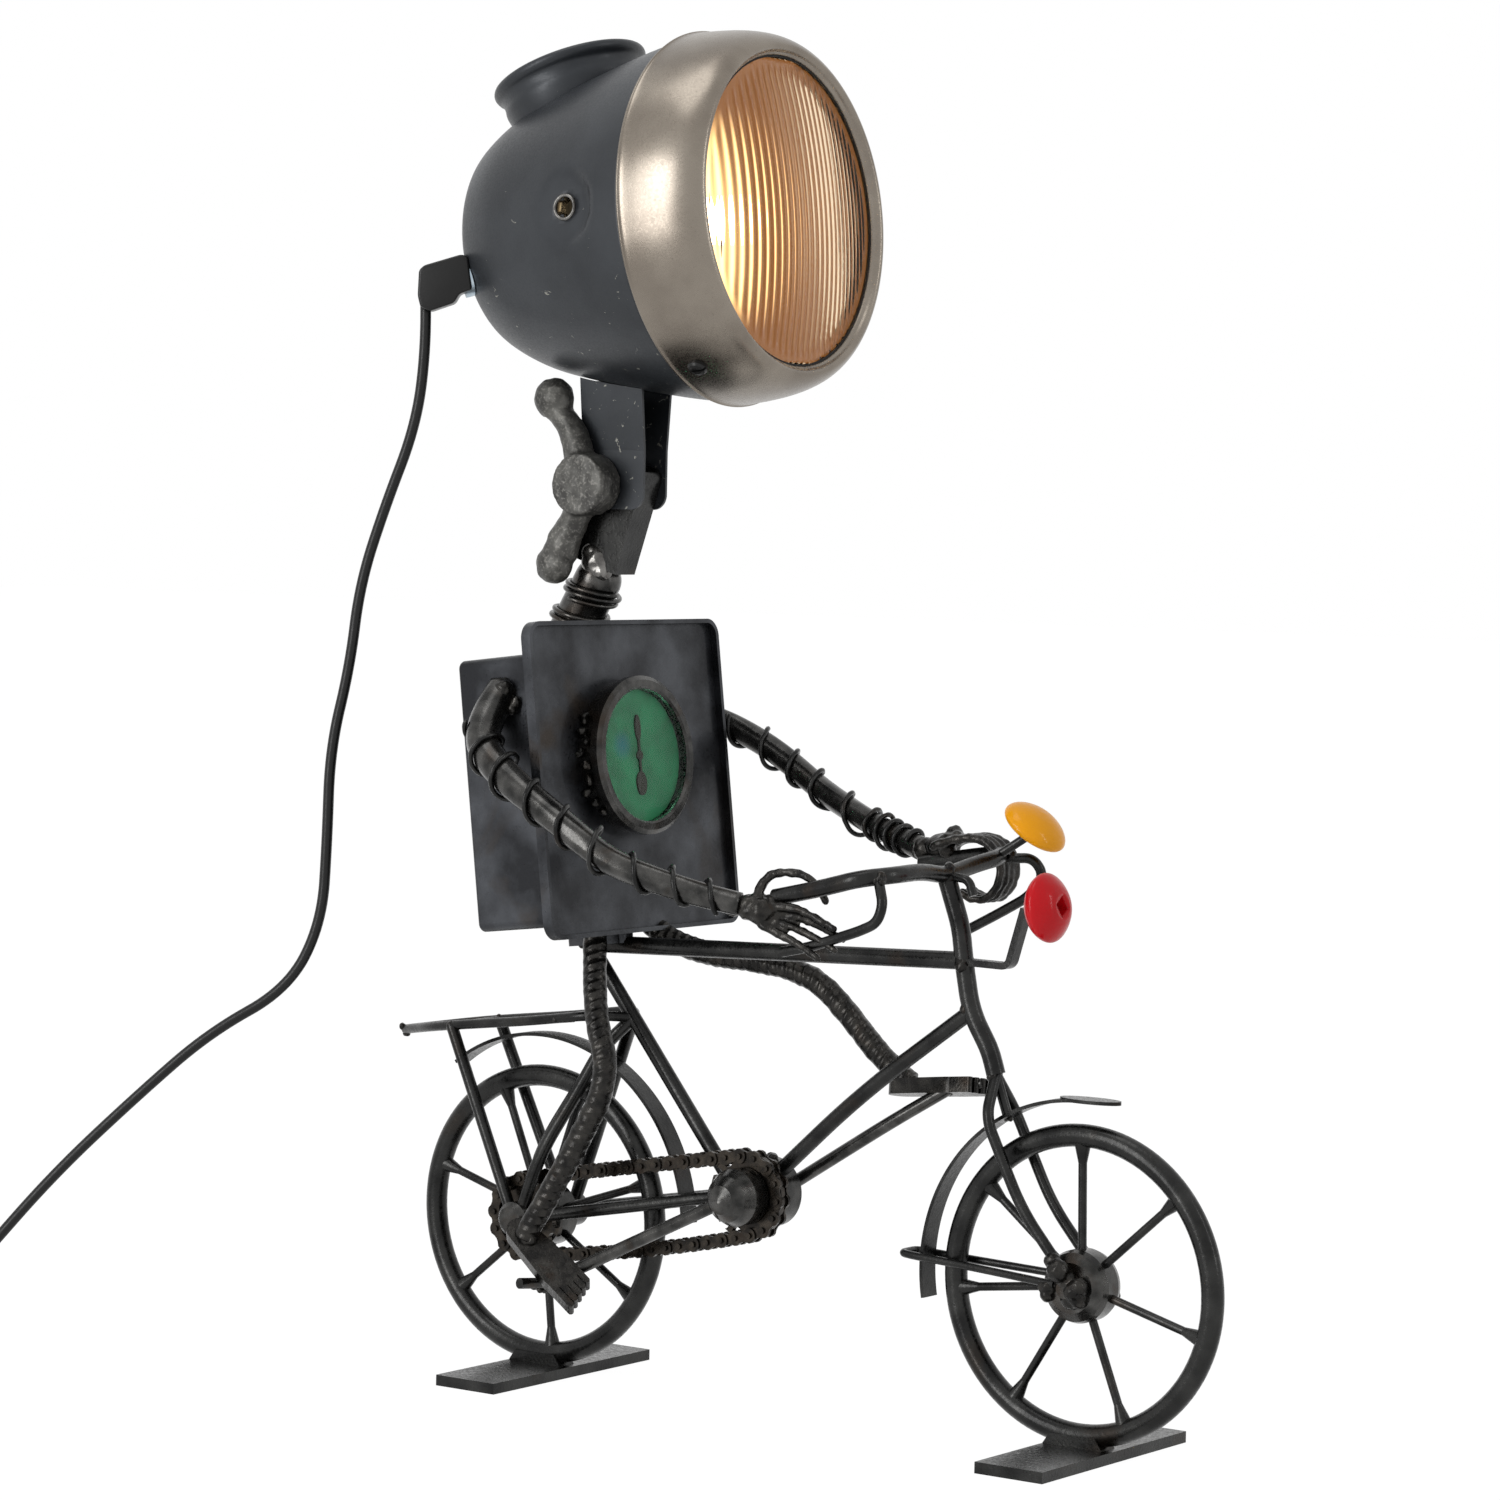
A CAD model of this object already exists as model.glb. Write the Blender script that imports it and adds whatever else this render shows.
"""Looks for a desk lamp: a welded steel figure on a bicycle with a headlamp for a head.

Sizes are in millimetres until a point is placed, and the axes are those of the frame: X forward along the
bicycle, Y to the rider's left, Z up, with the origin on the ground below the rear axle.
"""

import math

import bmesh
import bpy
from mathutils import Matrix, Vector, geometry, noise


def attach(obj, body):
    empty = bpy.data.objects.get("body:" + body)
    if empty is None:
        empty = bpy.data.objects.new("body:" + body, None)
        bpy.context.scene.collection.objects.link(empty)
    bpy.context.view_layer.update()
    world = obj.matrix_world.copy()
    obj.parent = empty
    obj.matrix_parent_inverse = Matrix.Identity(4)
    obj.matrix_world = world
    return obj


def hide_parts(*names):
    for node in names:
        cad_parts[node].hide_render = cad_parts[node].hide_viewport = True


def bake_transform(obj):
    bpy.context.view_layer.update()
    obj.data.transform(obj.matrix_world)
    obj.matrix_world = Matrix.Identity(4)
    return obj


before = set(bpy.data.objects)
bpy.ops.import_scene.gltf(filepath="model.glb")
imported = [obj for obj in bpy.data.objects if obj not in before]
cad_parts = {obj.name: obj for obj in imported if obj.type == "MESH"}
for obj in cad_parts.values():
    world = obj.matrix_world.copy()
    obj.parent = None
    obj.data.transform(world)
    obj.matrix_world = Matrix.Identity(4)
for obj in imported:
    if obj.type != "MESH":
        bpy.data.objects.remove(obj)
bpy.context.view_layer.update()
# Without a seed the weld beads' shifts would start from the clock.
noise.seed_set(1)

bl_info = {
    "name": "Bicycle Figure Desk Lamp",
    "version": (1, 0, 0),
    "blender": (4, 5, 0),
    "location": "View3D > Sidebar > Desk Lamp",
    "description": "Builds the finishes, cord, headlamp and wrought details of a figure desk lamp",
    "category": "Object",
}

MM = 0.001
METRES = Matrix.Scale(MM, 4)
FULL_TURN = 2 * math.pi
UP = Vector((0, 0, 1))
LEFT = Vector((0, 1, 0))

# ---- places on the frame, in millimetres
AXLE_HEIGHT = 74.7
WHEELBASE = 296.0
CRANK_CENTRE = Vector((125.9, 0, 97.6))
TORSO_MIDDLE = Vector((50, 0, AXLE_HEIGHT + 208))
TORSO_LEAN = math.radians(7.0)
TORSO_OUT = Vector((math.cos(TORSO_LEAN), 0, math.sin(TORSO_LEAN)))
TORSO_UP = Vector((-math.sin(TORSO_LEAN), 0, math.cos(TORSO_LEAN)))
HEAD_YAW = math.radians(2.9)
HEAD_AHEAD = Vector((math.cos(HEAD_YAW), math.sin(HEAD_YAW), 0))
HEAD_LEFT = Vector((-math.sin(HEAD_YAW), math.cos(HEAD_YAW), 0))
PIVOT = Vector((30, 0, 415.6))
LAMP_PITCH = math.radians(5.5)
LAMP_AXIS = math.cos(LAMP_PITCH) * HEAD_AHEAD + math.sin(LAMP_PITCH) * UP
LAMP_AHEAD = 99.5
LAMP_RISE = 124.6
LAMP_FRONT = PIVOT + LAMP_AHEAD * HEAD_AHEAD + LAMP_RISE * UP
CORD_AWAY = Vector((-0.8107, -0.5855, 0)).normalized()
CORD_SIDE = CORD_AWAY.cross(UP)
CORD_EXIT = Vector((-31.68, -59.29, 495.6))


def rear(x, y, z):
    """A point measured from the rear axle."""
    return Vector((x, y, AXLE_HEIGHT + z))


def front(x, y, z):
    """A point measured from the front axle."""
    return Vector((WHEELBASE + x, y, AXLE_HEIGHT + z))


def crank(x, y, z):
    """A point measured from the middle of the bottom bracket."""
    return CRANK_CENTRE + Vector((x, y, z))


def torso(out, left, up):
    """A point measured from the middle of the chest panel's front."""
    return TORSO_MIDDLE + out * TORSO_OUT + Vector((0, left, 0)) + up * TORSO_UP


def head(ahead, left, up):
    """A point measured from the neck's pivot."""
    return PIVOT + ahead * HEAD_AHEAD + left * HEAD_LEFT + up * UP


def hang(away, height, side=0):
    """A point of the cord: its distance out from the exit, its height above the ground and to one side."""
    level = Vector((CORD_EXIT.x, CORD_EXIT.y, 0)) + away * CORD_AWAY + side * CORD_SIDE
    return level + height * UP


def turn_to(along, left, up=None):
    """The matrix that turns X, Y and Z to three directions."""
    if up is None:
        up = along.cross(left)
    return Matrix((along, left, up)).transposed().to_4x4()


def axes(origin, along, left, up=None):
    """The matrix that carries a piece from its own axes, in millimetres, to the frame, in metres."""
    return Matrix.Translation(origin * MM) @ turn_to(along, left, up) @ Matrix.Scale(MM, 4)


LAMP_PLACE = axes(LAMP_FRONT, LAMP_AXIS, HEAD_LEFT)


# ---- lines
def smooth_line(points, resolution=12):
    """Points along the smooth line that a route's points control."""
    curve = bpy.data.curves.new("route", "CURVE")
    curve.dimensions = "3D"
    spline = curve.splines.new("NURBS")
    spline.points.add(len(points) - 1)
    for control, point in zip(spline.points, points):
        control.co = (*point, 1)
    spline.order_u = 3
    spline.use_endpoint_u = True
    spline.resolution_u = resolution
    route = bpy.data.objects.new("route", curve)
    mesh = bpy.data.meshes.new_from_object(route)
    line = [vertex.co.copy() for vertex in mesh.vertices]
    bpy.data.objects.remove(route)
    bpy.data.curves.remove(curve)
    bpy.data.meshes.remove(mesh)
    return line


def through(points, steps):
    """A smooth line that passes through every point."""
    points = [Vector(point) for point in points]
    padded = [2 * points[0] - points[1], *points, 2 * points[-1] - points[-2]]
    line = [points[0]]
    for before, start, end, after in zip(padded, padded[1:], padded[2:], padded[3:]):
        first_handle = start + (end - before) / 6
        last_handle = end - (after - start) / 6
        line += geometry.interpolate_bezier(start, first_handle, last_handle, end, steps + 1)[1:]
    return line


def smooth_outline(points, steps):
    """The outline of a turned form, smoothed through points of distance along its axis and radius."""
    return [(point.x, point.y) for point in through([(along, radius, 0) for along, radius in points], steps)]


def even_line(line, spacing=1.0):
    """The same line with its points a fixed distance apart."""
    run = [0.0]
    for start, end in zip(line, line[1:]):
        run.append(run[-1] + (end - start).length)
    count = max(2, round(run[-1] / spacing))
    spaced = []
    stretch = 0
    for i in range(count + 1):
        reach = run[-1] * i / count
        while stretch < len(line) - 2 and run[stretch + 1] < reach:
            stretch += 1
        share = (reach - run[stretch]) / max(run[stretch + 1] - run[stretch], 1e-9)
        spaced.append(line[stretch].lerp(line[stretch + 1], min(share, 1)))
    return spaced


def limb_line(points, spacing=2.0):
    """The middle of a limb, in millimetres, with even points."""
    return even_line(smooth_line(points, 24), spacing)


def frames_along(line):
    """A direction and two crosswise directions at each point, turning as little as they can."""
    ahead = [(line[min(i + 1, len(line) - 1)] - line[max(i - 1, 0)]).normalized() for i in range(len(line))]
    cross = ahead[0].orthogonal().normalized()
    found = []
    for direction in ahead:
        cross = (cross - cross.dot(direction) * direction).normalized()
        found.append((direction, cross, direction.cross(cross)))
    return found


# ---- forms
def new_verts(made):
    """The vertices among what an operator made."""
    return [item for item in made["geom"] if isinstance(item, bmesh.types.BMVert)]


def place_at(bm, matrix=METRES):
    """Carries the whole form to its place."""
    bmesh.ops.transform(bm, matrix=matrix, verts=bm.verts[:])


def face_outwards(bm):
    """Turns every face outwards."""
    bmesh.ops.recalc_face_normals(bm, faces=bm.faces[:])


def next_ring(bm, ring):
    """Extrudes a ring of vertices and gives the new ring in the same order."""
    edges = [bm.edges.get((a, b)) for a, b in zip(ring, ring[1:] + ring[:1])]
    fresh = set(new_verts(bmesh.ops.extrude_edge_only(bm, edges=edges)))
    return [next(e.other_vert(v) for e in v.link_edges if e.other_vert(v) in fresh) for v in ring]


def bar(bm, line, radius, sides=10):
    """A bar along a line. Its radius is a function of the share of its length and the angle round it."""
    ring = bmesh.ops.create_circle(bm, segments=sides, radius=1)["verts"]
    ring.sort(key=lambda vertex: math.atan2(vertex.co.y, vertex.co.x))
    first_ring = ring
    for i, (point, (_, cross, other)) in enumerate(zip(line, frames_along(line))):
        if i:
            ring = next_ring(bm, ring)
        share = i / (len(line) - 1)
        for j, vertex in enumerate(ring):
            angle = FULL_TURN * j / sides
            out = math.cos(angle) * cross + math.sin(angle) * other
            vertex.co = point + radius(share, angle) * out
    bmesh.ops.contextual_create(bm, geom=first_ring)
    bmesh.ops.contextual_create(bm, geom=ring)
    face_outwards(bm)


def tapered(first_radius, last_radius, blunt=0.0):
    """A radius that runs from one end's to the other's, rounded over a share of the length at each end."""

    def radius(share, angle):
        width = first_radius + (last_radius - first_radius) * share
        end = min(share, 1 - share)
        if end < blunt:
            width *= math.sqrt(max(1 - (1 - end / blunt) ** 2, 0.02))
        return width

    return radius


def turned(bm, outline, steps, place):
    """A turned form about its own X axis from points of distance along it and radius."""
    verts = [bm.verts.new((along, 0, radius)) for along, radius in outline]
    edges = [bm.edges.new(pair) for pair in zip(verts, verts[1:])]
    bmesh.ops.spin(
        bm, geom=verts + edges, cent=(0, 0, 0), axis=(1, 0, 0), angle=FULL_TURN, steps=steps, use_merge=True
    )
    bmesh.ops.remove_doubles(bm, verts=bm.verts[:], dist=0.001)
    face_outwards(bm)
    place_at(bm, place)


def lump(bm, centre, radius, squash=(1, 1, 1)):
    """A rounded blob of metal."""
    shape = Matrix.Translation(centre) @ Matrix.Diagonal((*squash, 1))
    bmesh.ops.create_icosphere(bm, subdivisions=2, radius=radius, matrix=shape)


def bead(bm, centre, radius, seed, count, spread):
    """A weld bead: a few blobs run together."""
    for i in range(count):
        shift = noise.noise_vector(Vector((seed * 3.7, i * 1.9, seed + i)))
        lump(bm, centre + spread * radius * shift * 2, radius * (0.7 + 0.12 * (i % 3)))


def melted(bm, voxel, smoothing):
    """The forms run together into one skin, as molten metal does. The voxel is in millimetres."""
    mesh = bpy.data.meshes.new("skin")
    bm.to_mesh(mesh)
    bm.free()
    body = bpy.data.objects.new("skin", mesh)
    bpy.context.scene.collection.objects.link(body)
    remesh = body.modifiers.new("skin", "REMESH")
    remesh.mode = "VOXEL"
    remesh.voxel_size = voxel * MM
    relax = body.modifiers.new("relax", "SMOOTH")
    relax.factor = 0.5
    relax.iterations = smoothing
    skin = bpy.data.meshes.new_from_object(body.evaluated_get(bpy.context.evaluated_depsgraph_get()))
    bpy.data.objects.remove(body)
    result = bmesh.new()
    result.from_mesh(skin)
    bpy.data.meshes.remove(skin)
    bpy.data.meshes.remove(mesh)
    return result


def roughened(bm, depth, size, seed):
    """The form with its surface moved in and out by a gentle noise, both sizes in millimetres."""
    shift = Vector((seed, -seed, 2 * seed))
    bm.normal_update()
    for vertex in bm.verts:
        vertex.co += depth * MM * noise.noise(vertex.co / (size * MM) + shift) * vertex.normal
    return bm


def piece(name, bm, finish, body, slot, *replaces, smooth=True):
    """Makes the finished object, puts it on its body and says what it stands for."""
    mesh = bpy.data.meshes.new(name)
    bm.to_mesh(mesh)
    bm.free()
    for face in mesh.polygons:
        face.use_smooth = smooth
    obj = bpy.data.objects.new(name, mesh)
    bpy.context.scene.collection.objects.link(obj)
    mesh.materials.append(finish_of(finish))
    if body:
        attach(obj, body)
    if replaces:
        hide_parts(*replaces)
    return obj


def wall(obj, thickness):
    """Gives a skin its wall, inwards."""
    solidify = obj.modifiers.new("wall", "SOLIDIFY")
    solidify.thickness = thickness * MM
    solidify.offset = -1


def dress(finish, *nodes):
    """Gives the frame's own pieces a finish."""
    for node in nodes:
        for material_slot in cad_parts[node].material_slots:
            material_slot.material = finish_of(finish)


# ---- nodes of materials
MIX_FIRST, MIX_SECOND, MIX_RESULT = 6, 7, 2


def linear(hex_code):
    """A linear colour from an sRGB hex code."""
    parts = [int(hex_code[i : i + 2], 16) / 255 for i in (1, 3, 5)]
    return tuple(p / 12.92 if p <= 0.04045 else ((p + 0.055) / 1.055) ** 2.4 for p in parts) + (1.0,)


def per_metre(size):
    """The scale of a pattern whose features are this many millimetres wide."""
    return 1 / (size * MM)


def add_node(tree, kind, inputs=None, settings=None):
    """Adds a node with its settings. An input is a value or the output that feeds it."""
    node = tree.nodes.new("ShaderNode" + kind)
    for name, value in (settings or {}).items():
        setattr(node, name, value)
    for name, value in (inputs or {}).items():
        if isinstance(value, bpy.types.NodeSocket):
            tree.links.new(value, node.inputs[name])
        else:
            node.inputs[name].default_value = value
    return node


def new_material(name, **sockets):
    """A material with a Principled shader whose plain values are set on its own sockets."""
    material = bpy.data.materials.new(name)
    material.use_nodes = True
    tree = material.node_tree
    tree.nodes.clear()
    shader = add_node(tree, "BsdfPrincipled")
    for socket, value in sockets.items():
        shader.inputs[socket.replace("_", " ")].default_value = value
    add_node(tree, "OutputMaterial", {"Surface": shader.outputs["BSDF"]})
    return material, tree, shader


def measured_from(tree, centre=None):
    """The place on the piece, measured from a centre if one is given."""
    place = add_node(tree, "TexCoord").outputs["Object"]
    if centre is None:
        return place
    return add_node(tree, "Mapping", {"Vector": place, "Location": tuple(-centre * MM)}).outputs["Vector"]


def nearness(tree, place, near, far):
    """A share that falls smoothly from one to nothing between two distances in millimetres."""
    distance = add_node(tree, "VectorMath", {0: place}, {"operation": "LENGTH"}).outputs["Value"]
    fall = {"Value": distance, "From Min": near * MM, "From Max": far * MM, "To Min": 1.0, "To Max": 0.0}
    return add_node(tree, "MapRange", fall, {"interpolation_type": "SMOOTHSTEP"}).outputs["Result"]


def laid_over(tree, under, over, level, low, high, most=1.0):
    """A colour laid over another as a level passes from low to high. A colour is a hex code or an output."""
    first, second = (linear(colour) if isinstance(colour, str) else colour for colour in (under, over))
    rise = {"Value": level, "From Min": low, "From Max": high, "To Max": most}
    share = add_node(tree, "MapRange", rise).outputs["Result"]
    colours = {0: share, MIX_FIRST: first, MIX_SECOND: second}
    return add_node(tree, "Mix", colours, {"data_type": "RGBA"}).outputs[MIX_RESULT]


def surface(tree, shader, grain, dent, depth, rough=None, colour=None):
    """Gives a shader its colour, and a grain that dents it by a depth in millimetres and varies its gloss."""
    if colour:
        tree.links.new(colour, shader.inputs["Base Color"])
    if rough:
        spread = {"Value": grain, "From Min": 0.3, "From Max": 0.7, "To Min": rough[0], "To Max": rough[1]}
        tree.links.new(add_node(tree, "MapRange", spread).outputs["Result"], shader.inputs["Roughness"])
    relief = add_node(tree, "Bump", {"Height": grain, "Strength": dent, "Distance": depth * MM})
    tree.links.new(relief.outputs["Normal"], shader.inputs["Normal"])


# ---- materials. A grit below a millimetre would not show, so each is drawn at about one.
def wrought_steel(name, dark, pale, stain, cloud=16.0, grit=1.0, rough=(0.2, 0.46), dent=0.25, stained=0.56):
    """Mild steel, bent, hammered and welded, then varnished.

    The clear coat gives sharp glints over a soft dark metal; heat from the welds leaves brown clouds.
    """
    material, tree, shader = new_material(name, Metallic=0.85, Coat_Weight=0.12, Coat_Roughness=0.1)
    place = measured_from(tree)
    haze = add_node(tree, "TexNoise", {"Vector": place, "Scale": per_metre(cloud), "Detail": 5.0})
    grains = add_node(tree, "TexNoise", {"Vector": place, "Scale": per_metre(grit), "Detail": 4.0})
    broad = {"Vector": place, "Scale": per_metre(2.3 * cloud), "Detail": 6.0, "Distortion": 0.6}
    stains = add_node(tree, "TexNoise", broad)
    metal = laid_over(tree, dark, pale, haze.outputs["Fac"], 0.36, 0.68)
    colour = laid_over(tree, metal, stain, stains.outputs["Fac"], stained, stained + 0.14)
    surface(tree, shader, grains.outputs["Fac"], dent, 0.5, rough, colour)
    return material


def sand_cast_iron():
    """Sand-cast iron: a matt grey-brown skin with the sand's pits."""
    material, tree, shader = new_material(
        "sand_cast_iron", Metallic=0.55, Roughness=0.52, Coat_Weight=0.15, Coat_Roughness=0.3
    )
    place = measured_from(tree)
    sand = add_node(tree, "TexNoise", {"Vector": place, "Scale": per_metre(1.3), "Detail": 6}).outputs["Fac"]
    haze = add_node(tree, "TexNoise", {"Vector": place, "Scale": per_metre(11.0), "Detail": 5}).outputs["Fac"]
    skin = laid_over(tree, "#353432", "#5a5955", haze, 0.35, 0.65)
    colour = laid_over(tree, skin, "#7c7a75", sand, 0.52, 0.66, 0.6)
    surface(tree, shader, sand, 0.45, 0.5, colour=colour)
    return material


def satin_paint():
    """Satin blue-grey paint on pressed steel: soft gloss, with small chips to pale primer low down."""
    material, tree, shader = new_material(
        "satin_paint", Metallic=0.35, Coat_Weight=0.1, Coat_Roughness=0.25, Specular_IOR_Level=0.35
    )
    place = measured_from(tree, LAMP_FRONT)
    dust = add_node(tree, "TexNoise", {"Vector": place, "Scale": per_metre(0.9), "Detail": 3}).outputs["Fac"]
    haze = add_node(tree, "TexNoise", {"Vector": place, "Scale": per_metre(38.0), "Detail": 5}).outputs["Fac"]
    flakes = {"Vector": place, "Scale": per_metre(4.2), "Detail": 7.0, "Roughness": 0.65, "Distortion": 0.8}
    chips = add_node(tree, "TexNoise", flakes).outputs["Fac"]
    height = add_node(tree, "SeparateXYZ", {"Vector": place}).outputs["Z"]
    lower = {"Value": height, "From Min": -75 * MM, "From Max": 15 * MM, "To Min": 0.09, "To Max": 0.0}
    low = add_node(tree, "MapRange", lower).outputs["Result"]
    chip_level = add_node(tree, "Math", {0: chips, 1: low}, {"operation": "ADD"}).outputs["Value"]
    paint = laid_over(tree, "#25282c", "#33363a", haze, 0.35, 0.65)
    colour = laid_over(tree, paint, "#8d8c84", chip_level, 0.735, 0.75)
    surface(tree, shader, dust, 0.12, 0.3, (0.34, 0.5), colour)
    return material


def satin_nickel():
    """Brushed nickel plate: a warm silver with a broad soft highlight and faint specks."""
    material, tree, shader = new_material("satin_nickel", Metallic=1.0)
    place = measured_from(tree)
    spots = add_node(tree, "TexNoise", {"Vector": place, "Scale": per_metre(1.1), "Detail": 5}).outputs["Fac"]
    haze = add_node(tree, "TexNoise", {"Vector": place, "Scale": per_metre(30.0), "Detail": 4}).outputs["Fac"]
    plate = laid_over(tree, "#787067", "#8a8278", haze, 0.35, 0.65)
    colour = laid_over(tree, plate, "#4e4942", spots, 0.68, 0.74, 0.5)
    surface(tree, shader, spots, 0.08, 0.2, (0.24, 0.34), colour)
    return material


def brushed_enamel(name, colour, worn_code):
    """Brush-painted enamel on metal: deep colour under a wet gloss, slightly uneven, with dark worn spots."""
    material, tree, shader = new_material(
        name, Roughness=0.3, Coat_Weight=0.2, Coat_Roughness=0.05, Specular_IOR_Level=0.1
    )
    place = measured_from(tree)
    rubbed = {"Vector": place, "Scale": per_metre(7.0), "Detail": 8.0, "Roughness": 0.7}
    wear = add_node(tree, "TexNoise", rubbed).outputs["Fac"]
    flow = add_node(tree, "TexNoise", {"Vector": place, "Scale": per_metre(5.0), "Detail": 2}).outputs["Fac"]
    painted = laid_over(tree, (*colour, 1.0), worn_code, wear, 0.66, 0.7)
    surface(tree, shader, flow, 0.35, 0.8, colour=painted)
    return material


def printed_dial():
    """A printed tin dial: flat green with fine dust and one faded blue patch left of the needle."""
    material, tree, shader = new_material("printed_dial", Roughness=0.55)
    place = measured_from(tree, torso(6, -14, 14))
    dust = add_node(tree, "TexNoise", {"Vector": place, "Scale": per_metre(0.8), "Detail": 5}).outputs["Fac"]
    haze = add_node(tree, "TexNoise", {"Vector": place, "Scale": per_metre(12.0), "Detail": 4}).outputs["Fac"]
    green = laid_over(tree, "#145f3d", "#1f7a50", haze, 0.35, 0.65)
    patched = laid_over(tree, green, "#1d5f7c", nearness(tree, place, 2, 9), 0, 1, 0.7)
    colour = laid_over(tree, patched, "#0e3a28", dust, 0.62, 0.7, 0.6)
    tree.links.new(colour, shader.inputs["Base Color"])
    return material


def silvered_reflector():
    """A silvered dish behind a lit bulb: amber light fills it, brightest round the bulb."""
    base = linear("#5c4028")
    material, tree, shader = new_material(
        "silvered_reflector", Base_Color=base, Metallic=0.9, Roughness=0.45, Emission_Strength=3.4
    )
    place = measured_from(tree, LAMP_FRONT - 60 * LAMP_AXIS)
    light = laid_over(tree, "#45301c", "#ffe4b4", nearness(tree, place, 20, 56), 0, 1)
    tree.links.new(light, shader.inputs["Emission Color"])
    return material


def lit_bulb():
    """A frosted lamp, switched on: warm white light."""
    glow = linear("#ffe8c2")
    material, tree, shader = new_material(
        "lit_bulb", Base_Color=linear("#fff0d8"), Roughness=0.4, Emission_Color=glow, Emission_Strength=14.0
    )
    grain = {"Vector": measured_from(tree), "Scale": per_metre(1.0), "Detail": 2.0}
    surface(tree, shader, add_node(tree, "TexNoise", grain).outputs["Fac"], 0.1, 0.2)
    return material


def clear_glass(name, tint, ripple, strength, index):
    """Moulded clear glass: sharp reflections, fainter at a low index, over a slight ripple."""
    material, tree, shader = new_material(
        name, Base_Color=linear(tint), Transmission_Weight=1.0, Roughness=0.02, IOR=index
    )
    waves = {"Vector": measured_from(tree), "Scale": per_metre(ripple), "Detail": 2.0}
    surface(tree, shader, add_node(tree, "TexNoise", waves).outputs["Fac"], strength, 0.4)
    return material


def moulded_plastic(name, colour_code, grain, rough):
    """Injection-moulded plastic or extruded sheath: an even colour with a fine grain in its gloss."""
    material, tree, shader = new_material(name, Base_Color=linear(colour_code), Specular_IOR_Level=0.3)
    skin = {"Vector": measured_from(tree), "Scale": per_metre(grain), "Detail": 3.0}
    gloss = (rough - 0.06, rough + 0.08)
    surface(tree, shader, add_node(tree, "TexNoise", skin).outputs["Fac"], 0.12, 0.2, gloss)
    return material


def galvanised_zinc():
    """Zinc plate: pale blue-grey with faint spangle."""
    material, tree, shader = new_material("galvanised_zinc", Metallic=1.0, Roughness=0.35)
    crystals = {"Vector": measured_from(tree), "Scale": per_metre(3.0)}
    spangle = add_node(tree, "TexVoronoi", crystals).outputs["Distance"]
    tree.links.new(laid_over(tree, "#9fb0bd", "#c4d0d8", spangle, 0, 1), shader.inputs["Base Color"])
    return material


def seen_share(tree):
    """One for what is seen directly, in a reflection or through glass, and nothing for light that falls."""
    rays = add_node(tree, "LightPath").outputs
    seen = rays["Is Camera Ray"]
    for kind in ("Is Glossy Ray", "Is Transmission Ray"):
        seen = add_node(tree, "Math", {0: seen, 1: rays[kind]}, {"operation": "MAXIMUM"}).outputs["Value"]
    return seen


def plain_floor():
    """A white sweep that keeps the lamp's shadow."""
    material = bpy.data.materials.new("plain_floor")
    material.use_nodes = True
    tree = material.node_tree
    tree.nodes.clear()
    share = add_node(tree, "Math", {0: seen_share(tree), 1: 0.88}, {"operation": "MULTIPLY"}).outputs["Value"]
    lit = add_node(tree, "BsdfDiffuse", {"Color": linear("#f4f4f4")}).outputs["BSDF"]
    glow = add_node(tree, "Emission", {"Color": (1, 1, 1, 1), "Strength": 1.09}).outputs["Emission"]
    mixed = add_node(tree, "MixShader", {0: share, 1: lit, 2: glow}).outputs["Shader"]
    add_node(tree, "OutputMaterial", {"Surface": mixed})
    return material


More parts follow.
